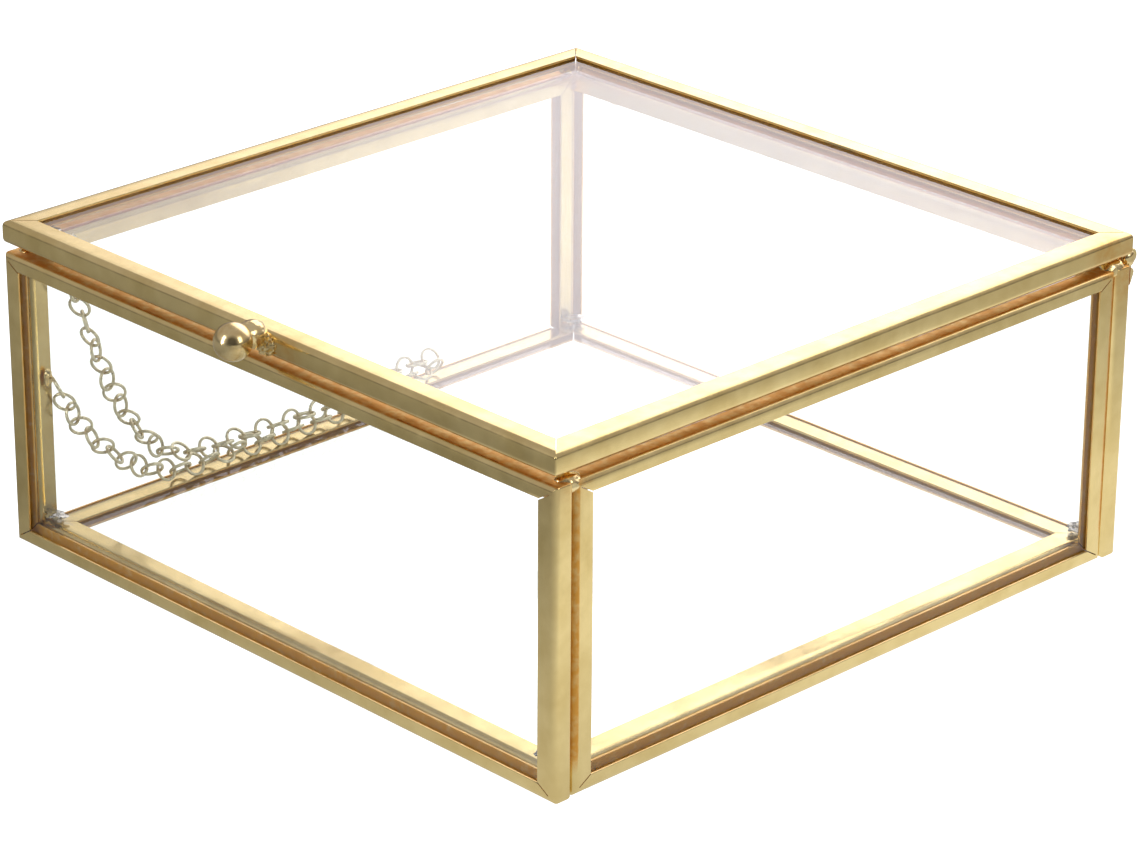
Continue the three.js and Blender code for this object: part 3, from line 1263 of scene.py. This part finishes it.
@dataclass
class Studio:
    """A plain white floor in a soft white studio."""

    floor_half: float = 3.0
    brightness: float = 1.5

    def floor(self) -> None:
        """Lay the floor, plain white, and dimmer in the brass's reflections, most of all at the front left."""
        low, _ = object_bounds()
        rows = [[Vector((x, y, low.z - 0.05 * MM)) for x in (-self.floor_half, self.floor_half)]
                for y in (-self.floor_half, self.floor_half)]
        plane = Shape().grid(rows, False, False).bare("studio_floor")
        sheet = NodeSheet("floor_card")
        bright = sheet.add("ShaderNodeEmission", Strength=self.brightness)
        sweep = sheet.add("ShaderNodeVectorMath", operation="DOT_PRODUCT")
        sweep.inputs[1].default_value = (0.707, 0.707, 0)
        sheet.link(sheet.coords, sweep.inputs[0])
        pool = sheet.add("ShaderNodeEmission")
        reach = sheet.add("ShaderNodeVectorMath", operation="LENGTH")
        sheet.link(sheet.coords, reach.inputs[0])
        far = reach.outputs["Value"]
        parts = []
        for shade, share in (((0.1, 0.19, 0.24, 0.3), (1, 0)), ((0.12, 0.18, 0.92, 0.52), (0, 1))):
            part = sheet.add("ShaderNodeMath", operation="MULTIPLY")
            sheet.link(sheet.span(far, *shade), part.inputs[0])
            sheet.link(sheet.span(sweep.outputs["Value"], -0.1, 0.06, *share), part.inputs[1])
            parts.append(part.outputs["Value"])
        fall = sheet.add("ShaderNodeMath", operation="ADD")
        for index, part in enumerate(parts):
            sheet.link(part, fall.inputs[index])
        sheet.link(fall.outputs["Value"], pool.inputs["Strength"])
        path = sheet.add("ShaderNodeLightPath")
        mix = sheet.add("ShaderNodeMixShader")
        sheet.link(path.outputs["Glossy Depth"], mix.inputs["Fac"])
        sheet.link(bright.outputs["Emission"], mix.inputs[1])
        sheet.link(pool.outputs["Emission"], mix.inputs[2])
        sheet.link(mix.outputs["Shader"], sheet.output.inputs["Surface"])
        plane.data.materials.append(sheet.material)
        plane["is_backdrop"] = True

    def sky(self) -> None:
        """Wrap the room in white, with a brighter card behind and a dark gap in front."""
        world = bpy.data.worlds.new("studio_room")
        world.use_nodes = True
        bpy.context.scene.world = world
        tree = world.node_tree
        tree.nodes.clear()

        def add(kind: str, **settings: object) -> bpy.types.Node:
            """Add a node to the room.

            Args:
                kind: Blender's name for the node.
                settings: Values for its own properties.

            Returns:
                The new node.
            """
            node = tree.nodes.new(kind)
            for key, value in settings.items():
                setattr(node, key, value)
            return node

        def wire(source: Socket, target: Socket) -> None:
            """Join two sockets."""
            tree.links.new(source, target)

        way = add("ShaderNodeTexCoord").outputs["Generated"]

        def toward(azimuth: float, elevation: float, low: float, high: float, away: float, here: float) -> Socket:
            """A soft patch of light in one direction.

            Args:
                azimuth: Its bearing from +Y toward +X, in degrees.
                elevation: Its height above the horizon, in degrees.
                low: The cosine of the angle to it at its outer edge.
                high: The cosine at its inner edge.
                away: The light outside it.
                here: The light within it.

            Returns:
                The light's socket.
            """
            a, e = math.radians(azimuth), math.radians(elevation)
            dot = add("ShaderNodeVectorMath", operation="DOT_PRODUCT")
            dot.inputs[1].default_value = (math.sin(a) * math.cos(e), math.cos(a) * math.cos(e), math.sin(e))
            wire(way, dot.inputs[0])
            ranged = add("ShaderNodeMapRange", interpolation_type="SMOOTHSTEP")
            wire(dot.outputs["Value"], ranged.inputs["Value"])
            for name, value in (("From Min", low), ("From Max", high), ("To Min", away), ("To Max", here)):
                ranged.inputs[name].default_value = value
            return ranged.outputs["Result"]

        def times(first: Socket, second: Socket) -> Socket:
            """Multiply two lights.

            Args:
                first: One light.
                second: The other.

            Returns:
                The product's socket.
            """
            node = add("ShaderNodeMath", operation="MULTIPLY")
            wire(first, node.inputs[0])
            wire(second, node.inputs[1])
            return node.outputs["Value"]

        backdrop = toward(-15, 24, 0.76, 0.92, 0.42, 2.5)
        horizon = toward(0, 90, 0.02, 0.32, 0.3, 1.0)
        gap = toward(134, 18, 0.72, 0.93, 1.0, 0.16)
        card = add("ShaderNodeBackground")
        card.inputs["Color"].default_value = (1.0, 0.95, 1.0, 1.0)
        wire(times(times(backdrop, horizon), gap), card.inputs["Strength"])
        plain = add("ShaderNodeBackground")
        plain.inputs["Strength"].default_value = self.brightness
        path = add("ShaderNodeLightPath")
        mix = add("ShaderNodeMixShader")
        wire(path.outputs["Glossy Depth"], mix.inputs["Fac"])
        wire(plain.outputs["Background"], mix.inputs[1])
        wire(card.outputs["Background"], mix.inputs[2])
        out = add("ShaderNodeOutputWorld")
        wire(mix.outputs["Shader"], out.inputs["Surface"])

    def lamp(self, name: str, azimuth: float, elevation: float, distance: float, size: tuple[float, float],
             watts: float) -> None:
        """Hang one soft rectangular light that looks at the box.

        Args:
            name: The light's name.
            azimuth: Its bearing from +Y toward +X, in degrees.
            elevation: Its height above the horizon, in degrees.
            distance: Its distance from the box, in metres.
            size: Its width and height, in metres.
            watts: Its power.
        """
        data = bpy.data.lights.new(name, "AREA")
        data.shape = "RECTANGLE"
        data.size, data.size_y = size
        data.energy = watts
        made = bpy.data.objects.new(name, data)
        bpy.context.scene.collection.objects.link(made)
        a, e = math.radians(azimuth), math.radians(elevation)
        away = Vector((math.sin(a) * math.cos(e), math.cos(a) * math.cos(e), math.sin(e)))
        made.location = away * distance
        made.rotation_euler = away.to_track_quat("Z", "Y").to_euler()

    def build(self) -> None:
        """Set up the floor, the room and the lamps."""
        self.floor()
        self.sky()
        self.lamp("tall_strip_left", 192, 24, 0.9, (0.12, 0.6), 2.5)
        self.lamp("soft_side_right", 84, 30, 1.0, (0.3, 0.5), 1.5)


@dataclass
class Viewpoint:
    """The camera, a little above the box and in line with its near corner."""

    aim: Vector = field(default_factory=lambda: Vector((10.567, -6.507, 26.0)) * MM)
    azimuth: float = 45.865
    elevation: float = 23.401
    roll: float = 0.327
    distance: float = 0.667712
    lens: float = 141.34
    sensor: float = 36.0

    def build(self) -> None:
        """Set up the camera."""
        data = bpy.data.cameras.new("viewpoint")
        data.lens, data.sensor_width, data.sensor_fit = self.lens, self.sensor, "HORIZONTAL"
        data.clip_start, data.clip_end = 0.02, 30
        camera = bpy.data.objects.new("viewpoint", data)
        bpy.context.scene.collection.objects.link(camera)
        a, e, r = (math.radians(v) for v in (self.azimuth, self.elevation, self.roll))
        back = Vector((math.sin(a) * math.cos(e), -math.cos(a) * math.cos(e), math.sin(e)))
        right = Vector((math.cos(a), math.sin(a), 0))
        up = back.cross(right)
        tilted_right = math.cos(r) * right + math.sin(r) * up
        tilted_up = -math.sin(r) * right + math.cos(r) * up
        turn = Matrix((tilted_right, tilted_up, back)).transposed()
        camera.matrix_world = Matrix.Translation(self.aim + back * self.distance) @ turn.to_4x4()
        bpy.context.scene.camera = camera


# ---------------------------------------------------------------- the box


CORNERS = ("front_left", "front_right", "back_left", "back_right")


def torch_spots() -> Spots:
    """Where the torch left an orange tint.

    Returns:
        Pairs of (centre, reach in metres).
    """
    spots = []
    for side in ("left", "right"):
        low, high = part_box(f"hinge_end_solder_{side}")
        for x in (low.x, high.x):
            spots.append((Vector((x, low.y, high.z)), 5 * MM))
    for corner in CORNERS:
        low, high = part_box(f"top_solder_{corner}")
        spots.append(((low + high) / 2 - Vector((0, 0, 1.0 * MM)), 2.6 * MM))
    low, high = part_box("lid_channel")
    spots.append((Vector((4.8 * MM, low.y, (low.z + high.z) / 2)), 2.6 * MM))
    spots.append((Vector((high.x, high.y - 6 * MM, (low.z + high.z) / 2)), 3.4 * MM))
    return spots


def bare_spots() -> Spots:
    """Where bare solder shows grey.

    Returns:
        Pairs of (centre, reach in metres).
    """
    spots = []
    for corner in CORNERS:
        low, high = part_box(f"base_solder_{corner}")
        spots.append(((low + high) / 2, 1.5 * MM))
    low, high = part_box("chain_anchor_lid")
    spots.append(((low + high) / 2, 1.8 * MM))
    return spots


def solder_beads() -> None:
    """Make the beads on and in the corners, and the two that hold the chain."""
    for corner in CORNERS:
        along, drop = (0.9, 0.6) if corner.startswith("front") else (0.3, 0.2)
        SolderBead(f"top_solder_{corner}", lump=0.16 * MM, sink=2.3, along=along * MM, drop=drop * MM,
                   share=1.0).build()
        SolderBead(f"base_solder_{corner}", Slot.BARE_SOLDER, lump=0.25 * MM, sink=0.55).build()
    SolderBead("chain_anchor_wall", share=0.7).build()
    SolderBead("chain_anchor_lid", Slot.BARE_SOLDER, "lid").build()


def main() -> None:
    """Build the box and set it in the studio."""
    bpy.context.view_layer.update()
    scene = bpy.context.scene
    scene.view_settings.view_transform = "Standard"
    scene.cycles.glossy_bounces = 8
    scene.cycles.transmission_bounces = 16
    scene.cycles.max_bounces = 20
    Viewpoint().build()
    hot, grey = torch_spots(), bare_spots()
    wall_lips = (2.4 * MM, 3.1 * MM)
    wide_lips = (3.8 * MM, 3.8 * MM)
    for side in (Side.FRONT, Side.RIGHT, Side.BACK, Side.LEFT):
        BrassEdge(side, *wall_lips, post_wider=1.0 * MM).build(hot, grey)
    BrassEdge(Side.BOTTOM, *wide_lips).build([], grey)
    BrassEdge(Side.LID, *wide_lips, body="lid").build(hot, grey)
    for side in Side:
        GlassPane(side).dress()
    solder_beads()
    Hinge().build()
    Knob().build()
    HalfChain("chain_wall", (3, 3, 3, 3, 4, 17), roll=0.0, hang=Vector((0.2, 0.3, 0.4)) * MM,
              lie=Vector((-0.6, 0, 0.45)) * MM).build()
    HalfChain("chain_lid", (7, 5, 4, 3, 3, 3, 13), roll=0.2, hang=Vector((1.2, 1.2, 0.2)) * MM,
              lie=Vector((0.5, 0, 0.1)) * MM).build()
    Studio().build()


if __name__ == "__main__":
    main()
